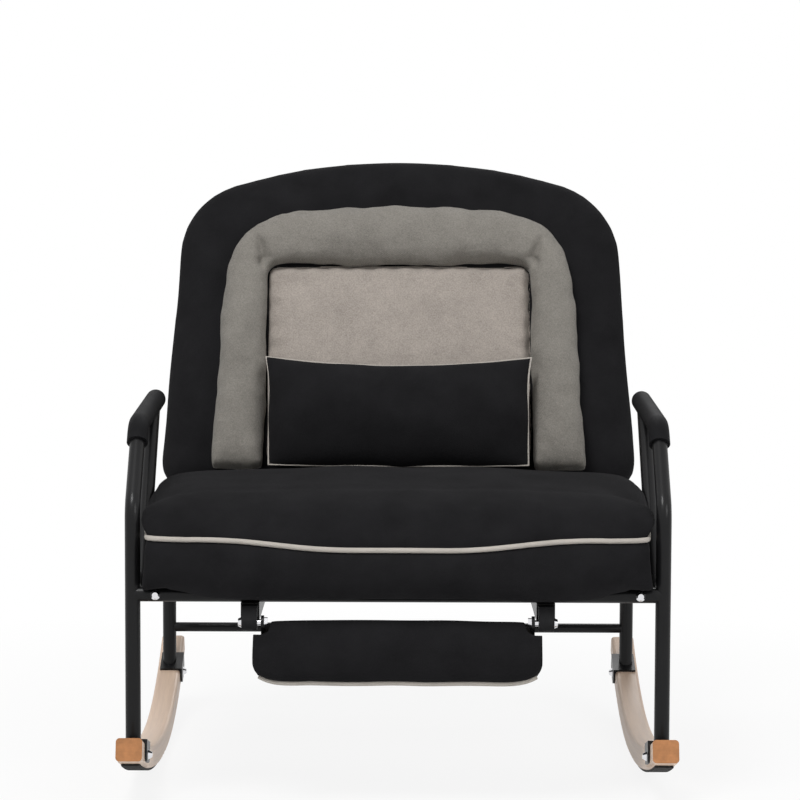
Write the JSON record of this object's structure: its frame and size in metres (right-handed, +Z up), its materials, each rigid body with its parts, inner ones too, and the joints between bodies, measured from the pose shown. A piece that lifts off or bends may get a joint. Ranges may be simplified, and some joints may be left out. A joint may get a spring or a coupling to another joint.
{
  "type": "rocking armchair",
  "caption": "Upholstered armchair on curved wooden rockers with a bent tube frame, a reclining cushioned back, a lumbar pillow and a sliding flip-up footrest.",
  "frame": {"origin": "centre of the bounding box on the floor, under the chair", "axes": "+Z up, +Y from the front of the chair to its back, +X to the right of a viewer who faces the chair's front"},
  "size_m": [0.722, 0.7926, 0.8358],
  "materials": {
    "black_tube": "gloss",
    "rocker_wood": "satin",
    "board_wood": "matte",
    "tread_rubber": "matte",
    "sleeve_plastic": "matte",
    "black_plastic": "satin",
    "bright_steel": "polished",
    "grey_fabric": "matte",
    "black_fabric": "matte",
    "strap_fabric": "matte"
  },
  "bodies": {
    "chassis": {"front_tube": "black_tube", "left_arm_sleeve": "sleeve_plastic", "left_brace": "black_tube", "left_footrest_guide": "black_tube", "left_front_leg": "black_tube", "left_front_saddle": "black_tube", "left_hinge_pin": "bright_steel", "left_hinge_seat_plate": "black_tube", "left_rail": "black_tube", "left_ratchet_drum": "black_plastic", "left_rear_saddle": "black_tube", "left_rocker": "rocker_wood", "left_tread": "tread_rubber", "mid_tube": "black_tube", "rear_stretcher": "black_tube", "rear_tube": "black_tube", "right_arm_sleeve": "sleeve_plastic", "right_brace": "black_tube", "right_footrest_guide": "black_tube", "right_front_leg": "black_tube", "right_front_saddle": "black_tube", "right_hinge_pin": "bright_steel", "right_hinge_seat_plate": "black_tube", "right_rail": "black_tube", "right_ratchet_drum": "black_plastic", "right_rear_saddle": "black_tube", "right_rocker": "rocker_wood", "right_tread": "tread_rubber", "rocker_bolts": "bright_steel", "seat_cushion": "black_fabric", "seat_studs": "bright_steel", "seat_webbing": "strap_fabric"},
    "backrest": {"back_frame": "black_tube", "back_bar": "black_tube", "back_pad": "black_fabric", "liner_bolster": "grey_fabric", "liner_panel": "grey_fabric", "lumbar_pillow": "black_fabric", "left_hinge_back_plate": "black_tube", "right_hinge_back_plate": "black_tube"},
    "footrest_slide": {"left_slide_tube": "black_tube", "left_slide_stop": "black_plastic", "left_footrest_clevis": "black_plastic", "right_slide_tube": "black_tube", "right_slide_stop": "black_plastic", "right_footrest_clevis": "black_plastic", "footrest_pivots": "bright_steel"},
    "footrest_flap": {"left_footrest_lug": "black_tube", "right_footrest_lug": "black_tube", "footrest_board": "board_wood", "footrest_pad": "black_fabric"}
  },
  "joints": [
    {"name": "recline", "type": "hinge", "parent": "chassis", "child": "backrest", "pos_m": [0, 0.1618, 0.322], "axis": [-1, 0, 0], "range_deg": [0, 50]},
    {"name": "footrest_extend", "type": "slide", "parent": "chassis", "child": "footrest_slide", "axis": [0, -1, 0], "range_m": [0, 0.3]},
    {"name": "footrest_flip", "type": "hinge", "parent": "footrest_slide", "child": "footrest_flap", "pos_m": [0, -0.3522, 0.243], "axis": [-1, 0, 0], "range_deg": [0, 90]}
  ]
}
